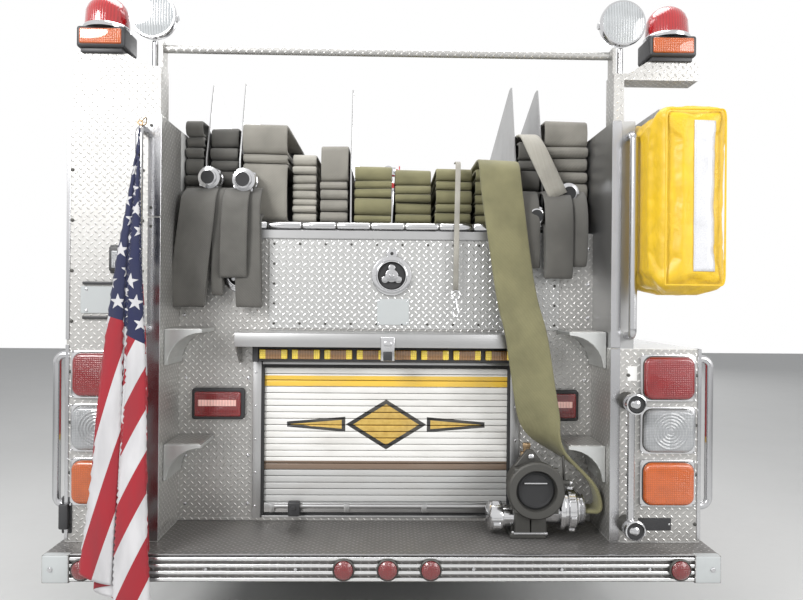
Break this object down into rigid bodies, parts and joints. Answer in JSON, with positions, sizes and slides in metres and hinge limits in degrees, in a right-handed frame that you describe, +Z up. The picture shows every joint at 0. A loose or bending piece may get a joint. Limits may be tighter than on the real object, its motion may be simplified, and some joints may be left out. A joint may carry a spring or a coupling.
{
  "type": "fire engine",
  "caption": "Fire engine with a four-door cab, pump house, high and low side lockers, hose bed, ground ladders and a rear step with lamps and hydrant valve.",
  "frame": {"origin": "on the ground below the middle of the overall box", "axes": "+Y forward, +X to the vehicle's right, +Z up"},
  "size_m": [2.78, 9, 3.07],
  "materials": {
    "white_paint": "gloss",
    "frame_black": "satin",
    "engine_grey": "rough cast",
    "tread_plate": "polished diamond plate",
    "brushed_alloy": "brushed",
    "shutter_white": "satin",
    "chrome": "polished",
    "steel": "brushed",
    "tyre": "rubber",
    "glass": "clear",
    "interior": "matt",
    "seat_cloth": "woven",
    "lamp_red": "clear lens",
    "tank": "moulded",
    "valve_iron": "painted casting",
    "cover_yellow": "coated cloth",
    "hose_grey": "woven jacket",
    "hose_olive": "woven jacket",
    "flag_cloth": "woven"
  },
  "bodies": {
    "vehicle": {"chassis_frame": "frame_black", "leaf_springs": "frame_black", "front_axle": "frame_black", "rear_axle": "frame_black", "drivetrain": "engine_grey", "under_tanks": "frame_black", "water_tank": "tank", "cab_shell": "white_paint", "cab_roof": "white_paint", "wheel_housings": "steel", "cab_glass": "glass", "cab_interior": "interior", "seats": "seat_cloth", "front_bumper": "chrome", "front_grille": "chrome", "headlamps": "chrome", "mirrors": "chrome", "roof_lightbar": "lamp_red", "pump_house": "brushed_alloy", "pump_fittings": "chrome", "side_lockers": "white_paint", "side_shutters": "shutter_white", "hose_bed": "brushed_alloy", "rear_wall": "tread_plate", "rear_shutter": "shutter_white", "tailboard": "tread_plate", "rear_lamps": "lamp_red", "grab_rails": "chrome", "step_brackets": "brushed_alloy", "corner_posts": "tread_plate", "corner_lamps": "lamp_red", "hydrant_valve": "valve_iron", "ladders": "brushed_alloy", "ladder_cover": "cover_yellow", "hose_stacks": "hose_grey", "supply_hose": "hose_olive", "flag": "flag_cloth"},
    "monitor_swivel": {"monitor_base": "chrome"},
    "monitor_tube": {"monitor_barrel": "chrome"},
    "steering_wheel": {"steering_wheel": "interior"},
    "tie_rod": {"tie_rod": "steel"},
    "knuckle_left": {"knuckle_left": "frame_black"},
    "front_wheel_left": {"tyre_front_left": "tyre", "wheel_front_left": "white_paint"},
    "rear_wheels_left": {"tyres_rear_left": "tyre", "wheels_rear_left": "white_paint"},
    "front_door_left": {"door_front_left": "white_paint", "pane_front_left": "glass"},
    "crew_door_left": {"door_crew_left": "white_paint", "pane_crew_left": "glass"},
    "knuckle_right": {"knuckle_right": "frame_black"},
    "front_wheel_right": {"tyre_front_right": "tyre", "wheel_front_right": "white_paint"},
    "rear_wheels_right": {"tyres_rear_right": "tyre", "wheels_rear_right": "white_paint"},
    "front_door_right": {"door_front_right": "white_paint", "pane_front_right": "glass"},
    "crew_door_right": {"door_crew_right": "white_paint", "pane_crew_right": "glass"}
  },
  "joints": [
    {"name": "steer_left", "type": "hinge", "parent": "vehicle", "child": "knuckle_left", "pos_m": [-0.86, 2.55, 0.52], "axis": [0, 0, 1], "range_deg": [-32, 32]},
    {"name": "steer_right", "type": "hinge", "parent": "vehicle", "child": "knuckle_right", "pos_m": [0.86, 2.55, 0.52], "axis": [0, 0, 1], "range_deg": [-32, 32]},
    {"name": "front_wheel_left_spin", "type": "hinge", "parent": "knuckle_left", "child": "front_wheel_left", "pos_m": [-1.04, 2.55, 0.52], "axis": [1, 0, 0], "continuous": true},
    {"name": "rear_wheels_left_spin", "type": "hinge", "parent": "vehicle", "child": "rear_wheels_left", "pos_m": [-0.9, -2.2, 0.52], "axis": [1, 0, 0], "continuous": true},
    {"name": "front_door_left_hinge", "type": "hinge", "parent": "vehicle", "child": "front_door_left", "pos_m": [-1.213, 3.703, 1.5], "axis": [0, 0, -1], "range_deg": [0, 72]},
    {"name": "crew_door_left_hinge", "type": "hinge", "parent": "vehicle", "child": "crew_door_left", "pos_m": [-1.213, 2.303, 1.5], "axis": [0, 0, -1], "range_deg": [0, 72]},
    {"name": "front_wheel_right_spin", "type": "hinge", "parent": "knuckle_right", "child": "front_wheel_right", "pos_m": [1.04, 2.55, 0.52], "axis": [1, 0, 0], "continuous": true},
    {"name": "rear_wheels_right_spin", "type": "hinge", "parent": "vehicle", "child": "rear_wheels_right", "pos_m": [0.9, -2.2, 0.52], "axis": [1, 0, 0], "continuous": true},
    {"name": "front_door_right_hinge", "type": "hinge", "parent": "vehicle", "child": "front_door_right", "pos_m": [1.213, 3.703, 1.5], "axis": [0, 0, 1], "range_deg": [0, 72]},
    {"name": "crew_door_right_hinge", "type": "hinge", "parent": "vehicle", "child": "crew_door_right", "pos_m": [1.213, 2.303, 1.5], "axis": [0, 0, 1], "range_deg": [0, 72]},
    {"name": "tie_rod_pivot", "type": "hinge", "parent": "knuckle_left", "child": "tie_rod", "pos_m": [-0.86, 2.36, 0.426], "axis": [0, 0, 1], "range_deg": [-34, 34]},
    {"name": "steering_wheel_turn", "type": "hinge", "parent": "vehicle", "child": "steering_wheel", "pos_m": [-0.8, 3.45, 1.83], "axis": [0, -0.4695, 0.8829], "range_deg": [-450, 450]},
    {"name": "monitor_swivel_turn", "type": "hinge", "parent": "vehicle", "child": "monitor_swivel", "pos_m": [0, 0.89, 3], "axis": [0, 0, 1], "range_deg": [-175, 175]},
    {"name": "monitor_elevation", "type": "hinge", "parent": "monitor_swivel", "child": "monitor_tube", "pos_m": [0, 0.89, 3], "axis": [1, 0, 0], "range_deg": [-12, 80]}
  ],
  "couplings": [
    {"joint": "steer_right", "follows": "steer_left", "ratio": 1},
    {"joint": "tie_rod_pivot", "follows": "steer_left", "ratio": -1},
    {"joint": "steering_wheel_turn", "follows": "steer_left", "ratio": 14}
  ]
}
